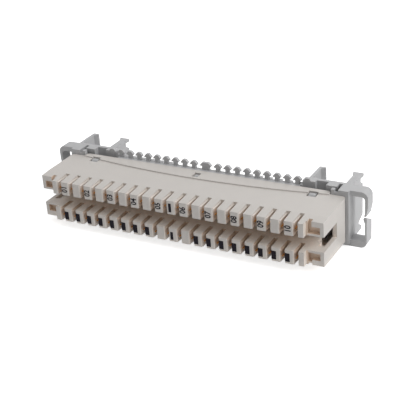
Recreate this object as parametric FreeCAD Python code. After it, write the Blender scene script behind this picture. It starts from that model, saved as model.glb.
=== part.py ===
import FreeCAD, Part
import math
import os

from FreeCAD import Vector

os.makedirs("parts", exist_ok=True)

# All sizes are in millimetres.
# While it is built, the block has Y = 0 at the front of its teeth and Z = 0 at its middle height.
# X runs along the block. The finished pieces are then moved so that the origin is at the bottom
# centre of the whole part.

# Wire slots and teeth
slot_count = 20
slot_pitch = 4.85
slot_width = 1.6
slot_depth = 6.4
slot_lead_in = 0.3
clamp_rib_height = 0.3
clamp_rib_length = 0.8
rib_from_inner_edge = 1.0
rib_from_outer_edge = 1.05
end_tooth_width = 2.0

# Housing
end_block_length = 6.1
end_block_setback = 2.4
body_height = 16.4
front_drop = 0.4
body_rear = 22.7
rear_corner_radius = 1.5
test_slot_height = 5.5
test_slot_depth = 14.0
cavity_front = 13.0
long_wall = 1.2
end_wall = 1.55
end_well_width = 3.4
end_well_front = 9.2
end_well_wall = 2.2
well_ramp_front = 6.3
well_ramp_width = 1.9
well_ramp_depth = 1.2

# Pockets in the front of the end blocks
pocket_depth = 1.6
pocket_side_wall = 1.3
pocket_width = 4.3
pocket_height = 2.5
pocket_inset = 0.8
groove_width = 1.4
lower_groove_drop = 0.75
notch_height = 0.8

# Raised pad on top of the housing
pad_height = 0.4
pad_half_length = 49.2
pad_front_middle = 17.9
pad_front_end = 22.0
pad_rear = 24.2
pad_corner_radius = 1.4

# Latch windows and lugs
window_width = 3.5
middle_window_width = 2.5
window_front = 18.9
window_depth = 3.3
window_spread = 43.65
middle_window_place = -0.7
lug_side_gap = 0.45
lug_end_gap = 0.3
lug_rise = 1.2
lug_ramp = 1.3

# Contact springs
fork_lean = 45.0
spring_thickness = 0.4
fork_half_width = 1.95
fork_front = 3.0
fork_gap = 0.3
fork_mouth = 1.5
fork_mouth_depth = 1.1
fork_slit_depth = 5.4
shoulder_extra = 0.5
shoulder_length = 1.2
tail_width = 2.0
neck_width = 1.0
neck_length = 1.5
bend_radius = 1.5
bend_facets = 3
touch_front = 11.6
touch_length = 0.8
flare_length = 1.4
flare_rise = 0.9
spring_clearance = 0.1

# Grey base: body and plug
fit_gap = 0.1
end_overhang = 0.75
base_top = 8.0
base_depth = 4.8
plug_depth = 5.2
plug_wall = 0.95
plug_end_gap = 4.0
rear_pocket_count = 14
rear_pocket_rib = 1.0
rear_pocket_low = 1.0
rear_pocket_high = 5.2
rear_pocket_front = 24.9

# Grey base: end blocks
end_base_length = 18.0
end_base_top = 10.0
end_base_rear = 29.3
end_base_overlap = 6.3
recess_depth = 5.0
step_width = 4.7
step_front = 26.3
wide_recess = 4.3
recess_rear = 27.9
centre_rib_width = 3.9
centre_rib_front = 25.3
narrow_recess = 1.3
narrow_recess_wall = 0.6
narrow_recess_sill = 0.8

# Grey base: wire guide posts
post_pitch = 3.85
first_post = 4.84
posts_each_side = 10
post_centre = 26.95
post_thickness = 1.2
post_width = 1.4
post_top = 10.85
cap_width = 2.9
cap_flat = 1.2
cap_edge = 0.35
cap_height = 1.35
middle_post_width = 2.8
middle_cap_width = 4.3

# Grey base: ribs that steady the outer posts from behind
first_ribbed_post = 4
last_ribbed_post = 9
post_rib_thickness = 0.9
post_rib_reach = 3.1
post_rib_top = 8.5
post_rib_fall = 1.4
post_rib_end = 1.4
post_rib_foot = 5.4

# Grey base: wire loops at the two ends
loop_front = 24.0
loop_depth = 4.9
loop_reach = 62.1
lower_jaw_setback = 0.4
loop_bottom = 10.95
loop_top = 10.0
loop_top_band = 1.85
loop_bottom_band = 2.3
loop_side = 1.05
loop_corner = 2.3
loop_inner_corner = 1.2
upper_jaw_tip = 1.1
jaw_taper_height = 3.4
jaw_taper = 0.6
jaw_nose = 0.35
lower_jaw_tip = 0.75
lower_jaw_slope = 0.54
jaw_bulge = 0.55
jaw_bulge_height = 0.9
loop_root = 53.2

# Grey base: clips for the frame's rods
rod_diameter = 12.0
clip_centres = 95.0
rod_offset = -1.25
rod_clearance = 0.1
clip_root_depth = 1.2
fin_thickness = 1.1
fin_lip = 1.3
fin_rear = 39.0
fin_lip_edge = 0.5
hook_thickness = 2.6
hook_rear = 38.8
hook_lip = 0.8
barb_length = 2.2
barb_slope = 1.5
barb_overhang = 0.3
barb_height = 1.0
hook_top = 9.8
hook_bottom = 10.9
upper_notch_rear = 36.8
upper_notch_height = 1.5
upper_notch_slope = 1.2
lower_notch_rear = 34.8
lower_notch_top = 7.4
lower_notch_height = 0.5
lower_notch_slope = 1.6
lower_barb_rear = 37.6
lower_barb_height = 9.8

# Sizes worked out from the ones above
half_height = body_height / 2
half_test_slot = test_slot_height / 2
first_slot = -(slot_count - 1) / 2 * slot_pitch
comb_half = -first_slot + slot_width / 2 + end_tooth_width
block_half = comb_half + end_block_length
row_middle = (half_height + half_test_slot) / 2
cavity_half = half_height - long_wall
base_front = body_rear + fit_gap
base_rear = base_front + base_depth
base_half = block_half + end_overhang
overhang_front = pad_rear + fit_gap
overall_depth = fin_rear
beyond = 1.0


def corners_to_wire(corners, lift):
    """A closed wire through corners (a, b) or, with a rounded corner, (a, b, radius)."""
    count = len(corners)
    spans = []
    for index, corner in enumerate(corners):
        here = Vector(corner[0], corner[1], 0)
        radius = corner[2] if len(corner) == 3 else 0
        if radius == 0:
            spans.append((here, None, here))
            continue
        before = corners[index - 1]
        after = corners[(index + 1) % count]
        to_before = (Vector(before[0], before[1], 0) - here).normalize()
        to_after = (Vector(after[0], after[1], 0) - here).normalize()
        half_angle = to_before.getAngle(to_after) / 2
        inward = (to_before + to_after).normalize()
        reach = radius / math.tan(half_angle)
        middle = here + inward * (radius / math.sin(half_angle) - radius)
        spans.append((here + to_before * reach, middle, here + to_after * reach))
    edges = []
    for index, (start, middle, finish) in enumerate(spans):
        if middle is not None:
            edges.append(Part.Arc(lift(start), lift(middle), lift(finish)).toShape())
        following = spans[(index + 1) % count][0]
        if finish.distanceToPoint(following) > 1e-6:
            edges.append(Part.LineSegment(lift(finish), lift(following)).toShape())
    return Part.Wire(edges)


def along_x(corners, x_low, x_high):
    """A prism along X from an outline of (y, z) corners."""
    wire = corners_to_wire(corners, lambda p: Vector(x_low, p.x, p.y))
    return Part.Face(wire).extrude(Vector(x_high - x_low, 0, 0))


def along_y(corners, y_low, y_high):
    """A prism along Y from an outline of (x, z) corners."""
    wire = corners_to_wire(corners, lambda p: Vector(p.x, y_low, p.y))
    return Part.Face(wire).extrude(Vector(0, y_high - y_low, 0))


def along_z(corners, z_low, z_high):
    """A prism along Z from an outline of (x, y) corners."""
    wire = corners_to_wire(corners, lambda p: Vector(p.x, p.y, z_low))
    return Part.Face(wire).extrude(Vector(0, 0, z_high - z_low))


def box(x_low, x_high, y_low, y_high, z_low, z_high):
    size = (x_high - x_low, y_high - y_low, z_high - z_low)
    return Part.makeBox(*size, Vector(x_low, y_low, z_low))


def join(shapes):
    return shapes[0].multiFuse(shapes[1:])


def mirrored_in_x(shape):
    return shape.mirror(Vector(0, 0, 0), Vector(1, 0, 0))


def mirrored_in_z(shape):
    return shape.mirror(Vector(0, 0, 0), Vector(0, 0, 1))


def slot_places():
    return [first_slot + index * slot_pitch for index in range(slot_count)]


def write(shape, name):
    """Moves a finished piece to the part's own frame and writes it."""
    placed = shape.copy()
    placed.translate(Vector(0, -overall_depth / 2, loop_bottom))
    placed.exportStep("parts/" + name + ".step")


# The ivory contact housing

def wire_slot(place):
    """The space of one upper wire slot, with ribs left standing that grip the insulation."""
    half = slot_width / 2
    low = half_test_slot - beyond
    high = half_height + beyond
    rib_places = (half_test_slot + rib_from_inner_edge, half_height - rib_from_outer_edge)
    side = [(half, low)]
    for rib in rib_places:
        side.append((half, rib - clamp_rib_length / 2))
        side.append((half - clamp_rib_height, rib))
        side.append((half, rib + clamp_rib_length / 2))
    side.append((half, high))
    other_side = [(-x, z) for x, z in reversed(side)]
    slot = along_y(side + other_side, -beyond, slot_depth)
    mouth_half = half + slot_lead_in
    mouth = [(-mouth_half, 0), (mouth_half, 0), (half, slot_lead_in), (half, 2 * slot_lead_in),
             (-half, 2 * slot_lead_in), (-half, slot_lead_in)]
    lead_in = along_z(mouth, low, high)
    space = slot.fuse(lead_in)
    space.translate(Vector(place, 0, 0))
    return space


def spring_channel(place):
    """The slanted channel that holds one upper contact fork."""
    half_width = fork_half_width + spring_clearance
    half_gap = spring_thickness / 2 + spring_clearance
    front = fork_front - 2 * spring_clearance
    channel = box(-half_width, half_width, front, cavity_front + beyond, -half_gap, half_gap)
    channel.rotate(Vector(0, 0, 0), Vector(0, 1, 0), -fork_lean)
    channel.translate(Vector(place, 0, row_middle))
    return channel


def turned_over(shape):
    """The same thing in the lower row: half a turn about the block's front-to-back middle line."""
    turned = shape.copy()
    turned.rotate(Vector(0, 0, 0), Vector(0, 1, 0), 180)
    return turned


def end_block_pockets():
    """The spaces in the front of the right end block: a pocket in each half, grooves and notch."""
    right = block_half - pocket_side_wall
    left = right - pocket_width
    front = end_block_setback
    low = half_test_slot + pocket_inset
    rear = front + pocket_depth
    upper = box(left, right, front - beyond, rear, low, low + pocket_height)
    lower = box(left, right, front - beyond, rear, -low - pocket_height, -low)
    groove = box(left, left + groove_width, front - beyond, rear, low, half_height + beyond)
    lower_groove = box(left, left + groove_width, front - beyond, rear,
                       -low - pocket_height - lower_groove_drop, -low)
    notch_top = -half_height + notch_height
    notch = box(left, left + groove_width, -beyond, rear, -half_height - beyond, notch_top)
    return join([upper, lower, groove, lower_groove, notch])


def end_well():
    """The well at the right end of the test slot, with a ramp down into it in each half."""
    right = block_half - end_wall
    well_half_height = half_height - end_well_wall
    well = box(right - end_well_width, right, end_well_front, cavity_front + beyond,
               -well_half_height, well_half_height)
    ramp = along_x([(well_ramp_front, 0), (end_well_front + beyond, 0),
                    (end_well_front + beyond, half_test_slot),
                    (end_well_front, half_test_slot + well_ramp_depth),
                    (well_ramp_front, half_test_slot)], right - well_ramp_width, right)
    return join([well, ramp, mirrored_in_z(ramp)])


def window_places():
    return [(-window_spread, window_width), (middle_window_place, middle_window_width),
            (window_spread, window_width)]


def raised_pad():
    """The pad along the top rear edge, with its bowed front."""
    low = cavity_half
    middle = Vector(0, pad_front_middle, low)
    left = Vector(-pad_half_length, pad_front_end, low)
    right = Vector(pad_half_length, pad_front_end, low)
    rear_right = Vector(pad_half_length, pad_rear, low)
    rear_left = Vector(-pad_half_length, pad_rear, low)
    edges = [Part.Arc(left, middle, right).toShape(),
             Part.LineSegment(right, rear_right).toShape(),
             Part.LineSegment(rear_right, rear_left).toShape(),
             Part.LineSegment(rear_left, left).toShape()]
    pad = Part.Face(Part.Wire(edges)).extrude(Vector(0, 0, half_height + pad_height - low))
    rear_corners = [edge for edge in pad.Edges
                    if edge.BoundBox.YMin > pad_rear - 1e-6 and edge.BoundBox.XLength < 1e-6]
    return pad.makeFillet(pad_corner_radius, rear_corners)


def housing():
    front_half = half_height - front_drop
    section = [(0, -front_half), (slot_depth, -half_height), (body_rear, -half_height),
               (body_rear, half_height), (slot_depth, half_height), (0, front_half)]
    body = along_x(section, -block_half, block_half)
    rear_corners = [edge for edge in body.Edges
                    if edge.BoundBox.YMin > body_rear - 1e-6 and edge.BoundBox.XLength < 1e-6]
    body = body.makeFillet(rear_corner_radius, rear_corners)
    setback = box(comb_half, block_half + beyond, -beyond, end_block_setback,
                  -half_height - beyond, half_height + beyond)
    test_slot = box(-block_half - beyond, block_half + beyond, -beyond, test_slot_depth,
                    -half_test_slot, half_test_slot)
    cavity_end = block_half - end_wall
    cavity = box(-cavity_end, cavity_end, cavity_front, body_rear + beyond,
                 -cavity_half, cavity_half)
    well = end_well()
    pockets = end_block_pockets()
    spaces = [setback, mirrored_in_x(setback), test_slot, cavity, well, mirrored_in_x(well),
              pockets, mirrored_in_x(pockets)]
    for place in slot_places():
        upper = wire_slot(place).fuse(spring_channel(place))
        spaces.append(upper)
        spaces.append(turned_over(upper))
    body = body.fuse(raised_pad()).cut(spaces)
    windows = []
    for place, width in window_places():
        window = box(place - width / 2, place + width / 2, window_front,
                     window_front + window_depth, cavity_half - beyond, half_height + beyond)
        windows.append(window)
        windows.append(mirrored_in_z(window))
    return body.cut(windows).removeSplitter()


# The forked contact springs

def fork():
    """The flat fork, slanted so that it cuts into the wire from both sides.

    Its shoulder, on the side towards the test slot, stops against the housing.
    """
    half_gap = fork_gap / 2
    half_mouth = fork_mouth / 2
    slit_end = fork_front + fork_slit_depth
    shoulder_front = cavity_front + spring_clearance
    shoulder_rear = shoulder_front + shoulder_length
    shoulder = fork_half_width + shoulder_extra
    tine = [(half_gap, slit_end), (half_gap, fork_front + fork_mouth_depth),
            (half_mouth, fork_front), (fork_half_width, fork_front)]
    other_tine = [(-x, y) for x, y in reversed(tine)]
    root = [(fork_half_width, shoulder_rear), (-shoulder, shoulder_rear),
            (-shoulder, shoulder_front), (-fork_half_width, shoulder_front)]
    blade = along_z(tine + root + other_tine, -spring_thickness / 2, spring_thickness / 2)
    blade.rotate(Vector(0, 0, 0), Vector(0, 1, 0), -fork_lean)
    return blade, shoulder_rear


def neck(front):
    """The thick neck between the slanted fork and the flat tail."""
    half = neck_width / 2
    reach = front + neck_length
    return box(-half, half, front, reach, -half, half)


def strip_outline(points, thickness):
    """The two edges of a bent strip, set off from its middle line, as one outline."""
    left = []
    right = []
    for index, point in enumerate(points):
        before = points[max(index, 1) - 1]
        after = points[min(index, len(points) - 2) + 1]
        arriving = (points[max(index, 1)] - before).normalize()
        leaving = (after - points[min(index, len(points) - 2)]).normalize()
        along = (arriving + leaving).normalize()
        aside = Vector(-along.y, along.x, 0) * (thickness / 2 / along.dot(arriving))
        left.append(point + aside)
        right.append(point - aside)
    return [(point.x, point.y) for point in left + right[::-1]]


def tail(front):
    """The flat tail: round a bend at the back, then forward to meet the opposite tail."""
    half = spring_thickness / 2
    centre = Vector(front, row_middle - bend_radius, 0)
    touch = Vector(touch_front + touch_length, half, 0)
    to_centre = centre - touch
    lean = math.atan2(to_centre.y, to_centre.x) - math.asin(bend_radius / to_centre.Length)
    bend_end = lean - math.pi / 2
    middle_line = []
    for step in range(bend_facets + 1):
        angle = math.pi / 2 + (bend_end - math.pi / 2) * step / bend_facets
        middle_line.append(centre + Vector(math.cos(angle), math.sin(angle), 0) * bend_radius)
    middle_line.append(touch)
    middle_line.append(Vector(touch_front, half, 0))
    middle_line.append(Vector(touch_front - flare_length, half + flare_rise, 0))
    outline = strip_outline(middle_line, spring_thickness)
    return along_x(outline, -tail_width / 2, tail_width / 2)


def contact_spring():
    """One upper contact, over X = 0."""
    blade, blade_rear = fork()
    root = neck(blade_rear)
    for piece in (blade, root):
        piece.translate(Vector(0, 0, row_middle))
    return join([blade, root, tail(blade_rear + neck_length)])


# The grey wire guide base

def post(place, stem, cap, top):
    """One guide post: a stem with a pitched cap that keeps the wires from slipping off."""
    cap_low = top - cap_height
    flat = cap_flat + cap - cap_width
    outline = [(-stem / 2, base_top - beyond), (stem / 2, base_top - beyond),
               (stem / 2, cap_low), (cap / 2, cap_low), (cap / 2, cap_low + cap_edge),
               (flat / 2, top), (-flat / 2, top), (-cap / 2, cap_low + cap_edge),
               (-cap / 2, cap_low), (-stem / 2, cap_low)]
    front = post_centre - post_thickness / 2
    shape = along_y(outline, front, front + post_thickness)
    shape.translate(Vector(place, 0, 0))
    return shape


def post_row():
    """The upper row of posts: a broad one in the middle and the same number on each side."""
    posts = [post(0, middle_post_width, middle_cap_width, post_top)]
    for index in range(posts_each_side):
        place = first_post + index * post_pitch
        posts.append(post(place, post_width, cap_width, post_top))
        posts.append(post(-place, post_width, cap_width, post_top))
    return posts


def middle_body():
    """The long body behind the housing, hollow from the back, with its plug."""
    section = [(base_front, -base_top), (base_rear, -base_top), (base_rear, base_top),
               (overhang_front, base_top), (overhang_front, cavity_half - fit_gap),
               (base_front, cavity_half - fit_gap)]
    half = block_half - fit_gap
    body = along_x(section, -half, half)
    span = 2 * (base_half - end_base_length) / rear_pocket_count
    pockets = []
    for index in range(rear_pocket_count):
        left = -(base_half - end_base_length) + index * span + rear_pocket_rib / 2
        pockets.append(box(left, left + span - rear_pocket_rib, rear_pocket_front,
                           base_rear + beyond, rear_pocket_low, rear_pocket_high))
    lower = [mirrored_in_z(pocket) for pocket in pockets]
    return body.cut(pockets + lower)


def plug():
    """Two flanges that fit inside the housing's cavity, with lugs that latch in its windows."""
    plug_half = block_half - end_wall - plug_end_gap
    outer = cavity_half - fit_gap
    front = base_front - plug_depth
    flange = box(-plug_half, plug_half, front, base_front + beyond, outer - plug_wall, outer)
    pieces = [flange]
    for place, width in window_places():
        half = width / 2 - lug_side_gap
        lug_front = window_front + lug_end_gap
        lug_rear = window_front + window_depth - lug_end_gap
        lug = [(lug_front, outer - plug_wall / 2), (lug_rear, outer - plug_wall / 2),
               (lug_rear, outer + lug_rise), (lug_front + lug_ramp, outer + lug_rise),
               (lug_front, outer)]
        pieces.append(along_x(lug, place - half, place + half))
    upper = join(pieces)
    return [upper, mirrored_in_z(upper)]


def post_rib(place):
    """The rib behind an outer post, sloping down to the rear, with its foot on the body."""
    stem_rear = post_centre + post_thickness / 2
    reach = stem_rear + post_rib_reach
    end_top = post_rib_top - post_rib_fall
    outline = [(post_centre, post_rib_foot), (base_rear, post_rib_foot),
               (reach, end_top - post_rib_end), (reach, end_top), (stem_rear, post_rib_top),
               (post_centre, post_rib_top)]
    half = post_rib_thickness / 2
    return along_x(outline, place - half, place + half)


def wire_loop():
    """The open loop at the right end: an upper and a lower jaw that nearly meet."""
    inner = loop_reach - loop_side
    band_low = loop_top - loop_top_band
    upper = [(loop_root, loop_top), (loop_reach, loop_top, loop_corner),
             (loop_reach, upper_jaw_tip + jaw_taper_height),
             (loop_reach - jaw_taper, upper_jaw_tip), (inner - jaw_nose, upper_jaw_tip),
             (inner, upper_jaw_tip + jaw_bulge_height), (inner, band_low, loop_inner_corner),
             (loop_root, band_low)]
    outer = loop_reach - lower_jaw_setback
    band_high = loop_bottom_band - loop_bottom
    lower = [(loop_root, -loop_bottom), (outer, -loop_bottom, loop_corner),
             (outer, lower_jaw_tip), (inner - jaw_nose, lower_jaw_tip),
             (inner - jaw_bulge, lower_jaw_tip - jaw_bulge_height),
             (inner, lower_jaw_tip - 2 * jaw_bulge_height - jaw_bulge),
             (inner, band_high, loop_inner_corner), (loop_root, band_high)]
    loop_rear = loop_front + loop_depth
    lower_jaw = along_y(lower, loop_front, loop_rear)
    sloped_end = [(loop_front, lower_jaw_tip), (loop_rear, lower_jaw_tip),
                  (loop_rear, lower_jaw_tip - lower_jaw_slope * loop_depth)]
    lower_jaw = lower_jaw.cut(along_x(sloped_end, loop_root, loop_reach + beyond))
    return [along_y(upper, loop_front, loop_rear), lower_jaw]


def end_base():
    """The block behind the right end, with its steps, recesses and centre rib.

    The recesses are open on top and, alike, at the bottom.
    """
    left = base_half - end_base_length
    block = box(left, base_half, overhang_front, end_base_rear, -end_base_top, end_base_top)
    overlap = box(base_half - end_base_overlap, base_half, base_front, end_base_rear,
                  -end_base_top, end_base_top)
    low = end_base_top - recess_depth
    high = end_base_top + beyond
    step_right = left + step_width
    recess_right = step_right + wide_recess
    rib_right = recess_right + centre_rib_width
    hole_right = rib_right + narrow_recess
    hole_front = base_front + narrow_recess_wall
    spaces = [box(left - beyond, step_right, overhang_front, step_front, low, high),
              box(step_right, recess_right, overhang_front, recess_rear, low, high),
              box(recess_right, rib_right, overhang_front, centre_rib_front, low, high),
              box(rib_right, hole_right, hole_front, recess_rear, low, high),
              box(rib_right, hole_right, base_front - beyond, hole_front,
                  end_base_top - narrow_recess_sill, high)]
    spaces += [mirrored_in_z(space) for space in spaces]
    return block.fuse(overlap), spaces


def hook(inside):
    """The barbed hook of a clip, a stiff arm with a notch near its top and its bottom."""
    outside = inside + hook_thickness
    root = end_base_rear - clip_root_depth
    notch_top = hook_top - barb_height
    arm_top = notch_top - upper_notch_height
    profile = [(root, -hook_bottom), (lower_barb_rear - lower_notch_height, -hook_bottom),
               (lower_barb_rear, -lower_barb_height),
               (lower_notch_rear, -lower_notch_top - lower_notch_height),
               (lower_notch_rear, -lower_notch_top),
               (hook_rear, -lower_notch_top + lower_notch_slope),
               (hook_rear, arm_top - upper_notch_slope), (upper_notch_rear, arm_top),
               (upper_notch_rear, hook_top), (root, hook_top)]
    arm = along_x(profile, inside, outside)
    barb_front = upper_notch_rear + barb_slope
    barb_rear = upper_notch_rear + barb_length
    barb = [(inside, upper_notch_rear - beyond), (inside, upper_notch_rear),
            (inside - hook_lip, barb_front), (inside - hook_lip, barb_rear),
            (outside + barb_overhang, barb_rear), (outside + barb_overhang, barb_front),
            (outside, upper_notch_rear - beyond)]
    return [arm, along_z(barb, notch_top, hook_top)]


def rod_clip(centre):
    """A stiff fin and a barbed hook that grip one upright rod between them."""
    rod = centre + rod_offset
    grip = rod_diameter / 2 + rod_clearance
    root = end_base_rear - clip_root_depth
    fin_in = rod - grip
    lip_front = fin_rear - fin_lip_edge
    fin = [(fin_in - fin_thickness, root), (fin_in, root), (fin_in, lip_front - fin_lip),
           (fin_in + fin_lip, lip_front), (fin_in + fin_lip, fin_rear),
           (fin_in - fin_thickness, fin_rear)]
    return [along_z(fin, -end_base_top, end_base_top)] + hook(rod + grip)


def wire_guide_base():
    block, spaces = end_base()
    body = join([middle_body(), block, mirrored_in_x(block)])
    body = body.cut(spaces + [mirrored_in_x(space) for space in spaces])
    additions = plug()
    rows = post_row()
    for index in range(first_ribbed_post - 1, last_ribbed_post):
        place = first_post + index * post_pitch
        rows += [post_rib(place), post_rib(-place)]
    for piece in rows:
        additions += [piece, mirrored_in_z(piece)]
    for centre in (-clip_centres / 2, clip_centres / 2):
        additions += rod_clip(centre)
    for jaw in wire_loop():
        additions += [jaw, mirrored_in_x(jaw)]
    return body.multiFuse(additions).removeSplitter()


write(housing(), "housing")
write(wire_guide_base(), "wire_guide_base")

upper_contact = contact_spring()
lower_contact = turned_over(upper_contact)
for number, place in enumerate(slot_places(), start=1):
    for row, contact in (("upper", upper_contact), ("lower", lower_contact)):
        seated = contact.copy()
        seated.translate(Vector(place, 0, 0))
        write(seated, "contact_{}_{:02d}".format(row, number))
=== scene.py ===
import math

import bmesh
import bpy
from mathutils import Matrix, Vector


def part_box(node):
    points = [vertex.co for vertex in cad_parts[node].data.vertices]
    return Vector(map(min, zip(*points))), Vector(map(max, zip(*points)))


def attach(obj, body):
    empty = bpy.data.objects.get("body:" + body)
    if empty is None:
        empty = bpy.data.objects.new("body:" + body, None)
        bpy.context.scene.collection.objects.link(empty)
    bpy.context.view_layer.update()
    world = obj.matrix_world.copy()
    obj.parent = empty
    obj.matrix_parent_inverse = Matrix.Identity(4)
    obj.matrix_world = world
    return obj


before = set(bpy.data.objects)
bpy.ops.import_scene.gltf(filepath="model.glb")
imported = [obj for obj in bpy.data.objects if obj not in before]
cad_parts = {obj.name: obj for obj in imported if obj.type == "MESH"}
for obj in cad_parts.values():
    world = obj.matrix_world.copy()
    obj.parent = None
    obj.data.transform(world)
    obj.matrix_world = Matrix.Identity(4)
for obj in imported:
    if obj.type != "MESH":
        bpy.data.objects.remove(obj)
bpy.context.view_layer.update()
mm = 0.001

# Rows of wire slots and teeth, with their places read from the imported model

slots = 20
teeth = slots - 1
comb_half = 48.9 * mm

first_low, first_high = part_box("contact_upper_01")
last_low, last_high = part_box("contact_upper_20")
teeth_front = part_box("housing")[0].y
middle_height = (first_low.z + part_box("contact_lower_01")[1].z) / 2
slot_pitch = ((last_low.x + last_high.x) - (first_low.x + first_high.x)) / 2 / (slots - 1)


def place_in_row(number, count):
    """The X of a slot or a tooth, counted from 1, in a row that is centred on the block."""
    return (number - (count + 1) / 2) * slot_pitch


def add_object(name, data):
    made = bpy.data.objects.new(name, data)
    bpy.context.scene.collection.objects.link(made)
    return made


# Materials

def new_material(name):
    material = bpy.data.materials.new(name)
    material.use_nodes = True
    nodes = material.node_tree.nodes
    return material, nodes, material.node_tree.links, nodes["Principled BSDF"]


def linear(red, green, blue):
    """A colour written as 0 to 255 screen values, for a shader socket."""
    def channel(value):
        share = value / 255
        if share <= 0.04045:
            return share / 12.92
        return ((share + 0.055) / 1.055) ** 2.4
    return (channel(red), channel(green), channel(blue), 1.0)


def plain(level):
    """One level in all channels, for a ramp that drives a number."""
    return (level, level, level, 1.0)


def object_noise(nodes, links, scale, detail):
    place = nodes.new("ShaderNodeTexCoord")
    noise = nodes.new("ShaderNodeTexNoise")
    noise.inputs["Scale"].default_value = scale
    noise.inputs["Detail"].default_value = detail
    links.new(place.outputs["Object"], noise.inputs["Vector"])
    return noise.outputs["Fac"]


def colour_ramp(nodes, links, source, *stops):
    """Colours over a source's value; each stop is a position and its colour."""
    ramp = nodes.new("ShaderNodeValToRGB")
    elements = ramp.color_ramp.elements
    ready = len(elements)
    for index, (position, colour) in enumerate(stops):
        stop = elements[index] if index < ready else elements.new(position)
        stop.position = position
        stop.color = colour
    links.new(source, ramp.inputs["Fac"])
    return ramp.outputs["Color"]


def calculation(nodes, links, operation, first, second=None):
    """A math node on a socket and, where it takes two values, a second socket or a number."""
    step = nodes.new("ShaderNodeMath")
    step.operation = operation
    links.new(first, step.inputs[0])
    if isinstance(second, float):
        step.inputs[1].default_value = second
    elif second is not None:
        links.new(second, step.inputs[1])
    return step.outputs[0]


def rising_level(nodes, links, value, low, high, low_level=0.0, high_level=1.0):
    """The low level up to the low value, and the high level from the high value on."""
    level = nodes.new("ShaderNodeMapRange")
    level.inputs["From Min"].default_value = low
    level.inputs["From Max"].default_value = high
    level.inputs["To Min"].default_value = low_level
    level.inputs["To Max"].default_value = high_level
    links.new(value, level.inputs["Value"])
    return level.outputs["Result"]


def place_axes(nodes, links):
    place = nodes.new("ShaderNodeTexCoord")
    axes = nodes.new("ShaderNodeSeparateXYZ")
    links.new(place.outputs["Object"], axes.inputs["Vector"])
    return axes.outputs


def painted_hollow_light_and_shade(nodes, links, surface, reach, closed, bare, rear_limit, inner, outer, rim):
    """Paints shade and light into a surface colour where the front of the block closes in around
    it.

    Walls count up to the reach. The painted tone is full where no more than the closed share is
    open, gone where at least the bare share is, and fades out at the rear limit behind the teeth's
    fronts.
    The inner tone is for what is near the middle height and for the end blocks, the outer one for
    the wire slots nearer to the block's top and bottom, and the rim for the slots' outer edges.
    Each is painted shade where it is darker than the surface and painted glow where it is lighter.
    """
    outer_start, outer_end = 3.4 * mm, 8.4 * mm
    outer_stop, rim_stop = 0.6, 0.84
    rear_fade = 0.5 * mm
    axes = place_axes(nodes, links)
    from_middle = calculation(nodes, links, "SUBTRACT", axes["Z"], middle_height)
    from_middle = calculation(nodes, links, "ABSOLUTE", from_middle)
    near_outside = rising_level(nodes, links, from_middle, outer_start, outer_end)
    sideways = calculation(nodes, links, "ABSOLUTE", axes["X"])
    in_teeth = calculation(nodes, links, "LESS_THAN", sideways, comb_half)
    near_outside = calculation(nodes, links, "MULTIPLY", near_outside, in_teeth)
    tone = colour_ramp(nodes, links, near_outside, (0.0, inner), (outer_stop, outer),
                       (rim_stop, rim))
    # Ambient occlusion picks where the painted shade and painted glow go.
    shade = nodes.new("ShaderNodeAmbientOcclusion")
    shade.inputs["Distance"].default_value = reach
    shade.samples = 8
    bare_share = rising_level(nodes, links, shade.outputs["AO"], closed, bare)
    behind = rising_level(nodes, links, axes["Y"], teeth_front + rear_limit,
                          teeth_front + rear_limit + rear_fade)
    bare_share = calculation(nodes, links, "MAXIMUM", bare_share, behind)
    # Mixes the painted shade and glow over the surface colour.
    mix = nodes.new("ShaderNodeMix")
    mix.data_type = "RGBA"
    links.new(bare_share, mix.inputs["Factor"])
    links.new(tone, mix.inputs["A"])
    links.new(surface, mix.inputs["B"])
    return mix.outputs["Result"]


def moulded_plastic(name, pale, deep, edge_radius, painted_hollow_tones):
    """Moulded plastic: faint mottling, a fine matt grain, and painted shade and light where its
    shape closes in.
    """
    roughness, roughness_spread = 0.45, 0.06
    material, nodes, links, shader = new_material(name)
    mottle = object_noise(nodes, links, scale=160, detail=3)
    surface = colour_ramp(nodes, links, mottle, (0.35, deep), (0.65, pale))
    # Each entry paints shade and light into the base colour in the recesses.
    for painted_hollow_tone in painted_hollow_tones:
        surface = painted_hollow_light_and_shade(nodes, links, surface, **painted_hollow_tone)
    links.new(surface, shader.inputs["Base Color"])
    bump = nodes.new("ShaderNodeBump")
    bump.inputs["Strength"].default_value = 0.12
    bump.inputs["Distance"].default_value = 0.02 * mm
    links.new(object_noise(nodes, links, scale=5200, detail=2), bump.inputs["Height"])
    soft_edge = nodes.new("ShaderNodeBevel")
    soft_edge.samples = 6
    soft_edge.inputs["Radius"].default_value = edge_radius
    links.new(soft_edge.outputs["Normal"], bump.inputs["Normal"])
    links.new(bump.outputs["Normal"], shader.inputs["Normal"])
    gloss = colour_ramp(nodes, links, mottle, (0.3, plain(roughness - roughness_spread)),
                        (0.7, plain(roughness + roughness_spread)))
    links.new(gloss, shader.inputs["Roughness"])
    return material


def contact_metal():
    """Bronze strip, rather dull, with darker patches."""
    material, nodes, links, shader = new_material("contact_metal")
    patches = object_noise(nodes, links, scale=600, detail=4)
    tone = colour_ramp(nodes, links, patches, (0.3, linear(168, 116, 64)),
                       (0.7, linear(218, 166, 104)))
    links.new(tone, shader.inputs["Base Color"])
    shader.inputs["Metallic"].default_value = 0.35
    dull = colour_ramp(nodes, links, patches, (0.3, plain(0.32)), (0.7, plain(0.5)))
    links.new(dull, shader.inputs["Roughness"])
    return material


def printing_ink():
    """Nearly black marking ink with a slight break-up."""
    material, nodes, links, shader = new_material("printing_ink")
    speckle = object_noise(nodes, links, scale=3000, detail=3)
    tone = colour_ramp(nodes, links, speckle, (0.3, linear(20, 17, 24)),
                       (0.75, linear(36, 32, 40)))
    links.new(tone, shader.inputs["Base Color"])
    shader.inputs["Roughness"].default_value = 0.7
    shader.inputs["Specular IOR Level"].default_value = 0.12
    return material


# A pale ivory painted glow, lighter than the plastic, for its deep recesses.
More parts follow.
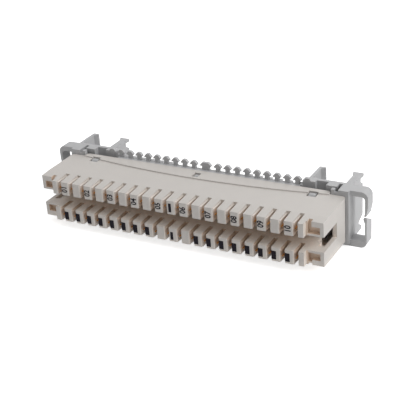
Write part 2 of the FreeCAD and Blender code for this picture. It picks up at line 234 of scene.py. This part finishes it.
ivory_painted_glow = linear(246, 236, 226)
# A dark grey painted shade for the grey base's recesses.
grey_painted_shade = linear(96, 96, 95)
ivory = moulded_plastic(
    "ivory_plastic", pale=linear(206, 201, 196), deep=linear(203, 198, 193),
    edge_radius=0.22 * mm,
    painted_hollow_tones=[
        # Painted glow in recesses within 8 mm; within 4 mm, painted orange-brown shade near the
        # middle height and painted glow nearer the top and bottom.
        dict(reach=8.0 * mm, closed=0.5, bare=0.9, rear_limit=16 * mm,
             inner=ivory_painted_glow, outer=ivory_painted_glow, rim=ivory_painted_glow),
        dict(reach=4.0 * mm, closed=0.5, bare=0.85, rear_limit=7.2 * mm,
             inner=linear(212, 190, 170), outer=linear(240, 232, 224),
             rim=linear(210, 203, 196))])
grey = moulded_plastic(
    "grey_plastic", pale=linear(185, 185, 186), deep=linear(179, 179, 180),
    edge_radius=0.15 * mm,
    painted_hollow_tones=[
        # Painted shade in the grey base's recesses within 3 mm.
        dict(reach=3.0 * mm, closed=0.05, bare=0.4, rear_limit=60 * mm,
             inner=grey_painted_shade, outer=grey_painted_shade, rim=grey_painted_shade)])
bronze = contact_metal()
ink = printing_ink()


def dress(node_name, material):
    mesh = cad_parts[node_name].data
    mesh.materials.clear()
    mesh.materials.append(material)


dress("housing", ivory)
dress("wire_guide_base", grey)
for node_name in sorted(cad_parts):
    if node_name.startswith("contact_"):
        dress(node_name, bronze)


# Building of the scene's own pieces

def ride_root(piece, material):
    piece.data.materials.clear()
    piece.data.materials.append(material)
    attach(piece, "root")


def add_slab(shape, corners, drawn_by):
    """Adds a flat slab: a face on the corners, drawn out by a vector."""
    face = shape.faces.new([shape.verts.new(corner) for corner in corners])
    drawn = bmesh.ops.extrude_face_region(shape, geom=[face])
    moved = [item for item in drawn["geom"] if isinstance(item, bmesh.types.BMVert)]
    bmesh.ops.translate(shape, verts=moved, vec=drawn_by)


def finish_shape(name, shape, material):
    bmesh.ops.recalc_face_normals(shape, faces=shape.faces)
    mesh = bpy.data.meshes.new(name)
    shape.to_mesh(mesh)
    shape.free()
    ride_root(add_object(name, mesh), material)


# Marks printed on the fronts of the teeth

pairs = 10
middle_tooth = 10
bare_lower_teeth = (9, 11)
ink_thickness = 0.015 * mm
ink_front = teeth_front - ink_thickness

numeral_height = 2.12 * mm
figure_share_of_font = 0.7
numeral_width_scale = 0.84
numeral_rise = 5.15 * mm
numeral_shift = -0.1 * mm
numeral_weight = 0.1 * mm

# Left, right, low and high of each bar, from the tooth's middle and the block's middle height
lower_bar = (-1.53 * mm, 0.22 * mm, -7.1 * mm, -3.93 * mm)
lower_line = (-1.0 * mm, 0.1 * mm, -7.14 * mm, -4.14 * mm)
upper_line = (-0.86 * mm, 0.24 * mm, 3.5 * mm, 6.85 * mm)
bar_corner = 0.12 * mm
corner_steps = 3


def printed_numeral(number, tooth):
    """A two-figure pair number, turned to read upwards on its tooth."""
    curve = bpy.data.curves.new("numeral_{:02d}".format(number), "FONT")
    curve.body = "{:02d}".format(number)
    curve.size = numeral_height / figure_share_of_font
    curve.align_x = "CENTER"
    curve.align_y = "CENTER"
    curve.offset = numeral_weight
    curve.resolution_u = 4
    made = add_object("numeral_source", curve)
    bpy.context.view_layer.update()
    graph = bpy.context.evaluated_depsgraph_get()
    mesh = bpy.data.meshes.new_from_object(made.evaluated_get(graph))
    bpy.data.objects.remove(made)
    mesh.transform(Matrix.Scale(numeral_width_scale, 4, Vector((1, 0, 0))))
    reading_up = Matrix(((0, -1, 0, 0), (0, 0, -1, 0), (1, 0, 0, 0), (0, 0, 0, 1)))
    place = Vector((place_in_row(tooth, teeth) + numeral_shift, ink_front,
                    middle_height + numeral_rise))
    mesh.transform(Matrix.Translation(place) @ reading_up)
    ride_root(add_object("numeral_{:02d}".format(number), mesh), ink)


def printed_bar(name, tooth, left, right, low, high):
    """A printed bar: a thin slab with eased corners on the front of a tooth."""
    middle = place_in_row(tooth, teeth)
    corners = []
    for x, z, start in ((right, high, 0), (left, high, 90), (left, low, 180), (right, low, 270)):
        inward_x = -1 if x == right else 1
        inward_z = -1 if z == high else 1
        for step in range(corner_steps + 1):
            angle = math.radians(start + 90 / corner_steps * step)
            corners.append((middle + x + bar_corner * (inward_x + math.cos(angle)), ink_front,
                            middle_height + z + bar_corner * (inward_z + math.sin(angle))))
    shape = bmesh.new()
    add_slab(shape, corners, (0, ink_thickness, 0))
    finish_shape(name, shape, ink)


for number in range(1, pairs + 1):
    printed_numeral(number, 2 * number - 1)

for tooth in range(1, teeth + 1):
    if tooth == middle_tooth:
        printed_bar("lower_line", tooth, *lower_line)
        printed_bar("upper_line", tooth, *upper_line)
    elif tooth not in bare_lower_teeth:
        printed_bar("lower_bar_{:02d}".format(tooth), tooth, *lower_bar)


# Tips of the forked springs, seen between the teeth in front of the solid blades

tip_front, tip_shoulder, tip_rear = 1.25 * mm, 2.1 * mm, 3.1 * mm
tip_inner, tip_crown, tip_outer = 0.18 * mm, 0.5 * mm, 0.9 * mm
tip_half_thickness = 0.2 * mm
tip_height = 5.475 * mm


def fork_tips(name, place, height):
    """Two prongs of a fork that leans by 45 degrees across its wire slot."""
    along = Vector((1, 0, 1)).normalized()
    through = Vector((1, 0, -1)).normalized() * tip_half_thickness
    shape = bmesh.new()
    for side in (-1, 1):
        outline = [(tip_inner, tip_rear), (tip_inner, tip_shoulder), (tip_crown, tip_front),
                   (tip_outer, tip_front), (tip_outer, tip_rear)]
        corners = [Vector((place, teeth_front + depth, height)) + along * side * reach - through
                   for reach, depth in outline]
        add_slab(shape, corners, 2 * through)
    finish_shape(name, shape, bronze)


for number in range(1, slots + 1):
    slot_place = place_in_row(number, slots)
    fork_tips("fork_tips_upper_{:02d}".format(number), slot_place, middle_height + tip_height)
    fork_tips("fork_tips_lower_{:02d}".format(number), slot_place, middle_height - tip_height)


# Floor

def seen_directly(nodes, links):
    """1 for what the camera sees, straight or by a reflection or through a clear piece."""
    path = nodes.new("ShaderNodeLightPath")
    seen = path.outputs["Is Camera Ray"]
    for ray in ("Is Glossy Ray", "Is Transmission Ray"):
        seen = calculation(nodes, links, "MAXIMUM", seen, path.outputs[ray])
    return seen


def floor():
    """A pale floor that glows for the camera, and more so far off, to meet the white world."""
    reach = 3.0
    glow_start, glow_end = 0.15, 0.8
    near_glow, far_glow = 0.7, 1.0
    mesh = bpy.data.meshes.new("floor")
    mesh.from_pydata([(-reach, -reach, 0), (reach, -reach, 0), (reach, reach, 0),
                      (-reach, reach, 0)], [], [(0, 1, 2, 3)])
    plane = add_object("floor", mesh)
    material, nodes, links, shader = new_material("pale_floor")
    shader.inputs["Base Color"].default_value = plain(0.8)
    shader.inputs["Roughness"].default_value = 0.9
    axes = place_axes(nodes, links)
    distance = calculation(nodes, links, "MAXIMUM",
                           calculation(nodes, links, "ABSOLUTE", axes["X"]),
                           calculation(nodes, links, "ABSOLUTE", axes["Y"]))
    level = rising_level(nodes, links, distance, glow_start, glow_end, near_glow, far_glow)
    level = calculation(nodes, links, "MULTIPLY", level, seen_directly(nodes, links))
    glow = nodes.new("ShaderNodeEmission")
    links.new(level, glow.inputs["Strength"])
    both = nodes.new("ShaderNodeAddShader")
    links.new(shader.outputs["BSDF"], both.inputs[0])
    links.new(glow.outputs["Emission"], both.inputs[1])
    links.new(both.outputs["Shader"], nodes["Material Output"].inputs["Surface"])
    mesh.materials.append(material)


floor()


# Light

light_target = Vector((0, 0, 0.01))


def soft_light(name, place, size, power):
    data = bpy.data.lights.new(name, "AREA")
    data.shape = "SQUARE"
    data.size = size
    data.energy = power
    lamp = add_object(name, data)
    lamp.location = place
    aim = light_target - Vector(place)
    lamp.rotation_mode = "QUATERNION"
    lamp.rotation_quaternion = aim.to_track_quat("-Z", "Y")


soft_light("overhead_light", (0.05, 0.1, 0.9), size=0.9, power=1.0)
soft_light("upper_front_light", (0.05, -0.36, 0.86), size=0.8, power=1.55)
soft_light("right_light", (1.6, -0.02, 1.16), size=1.2, power=21.5)
soft_light("left_light", (-0.9, 0.0, 0.45), size=0.7, power=0.8)
soft_light("rear_light", (0.0, 0.9, 0.5), size=0.7, power=1.8)

ambient_level, seen_level = 0.2, 1.0
world = bpy.data.worlds.new("studio")
bpy.context.scene.world = world
world.use_nodes = True
world_nodes = world.node_tree.nodes
world_links = world.node_tree.links
background = world_nodes["Background"]
background.inputs["Color"].default_value = plain(1.0)
world_level = rising_level(world_nodes, world_links, seen_directly(world_nodes, world_links),
                           0.0, 1.0, ambient_level, seen_level)
world_links.new(world_level, background.inputs["Strength"])


# Camera

camera_place = Vector((165.92, -288.71, 171.63)) * mm
camera_azimuth = math.radians(29.213)
camera_elevation = math.radians(26.467)
camera_roll = math.radians(-4.087)

camera_data = bpy.data.cameras.new("camera")
camera_data.sensor_width = 36.0
camera_data.lens = 88.56
camera_data.clip_start = 0.01
camera_data.clip_end = 20
camera = add_object("camera", camera_data)
back = Vector((math.sin(camera_azimuth) * math.cos(camera_elevation),
               -math.cos(camera_azimuth) * math.cos(camera_elevation),
               math.sin(camera_elevation)))
camera.rotation_mode = "QUATERNION"
level_turn = (-back).to_track_quat("-Z", "Y").to_matrix()
camera.rotation_quaternion = (level_turn @ Matrix.Rotation(camera_roll, 3, "Z")).to_quaternion()
camera.location = camera_place
bpy.context.scene.camera = camera
bpy.context.scene.view_settings.view_transform = "Standard"
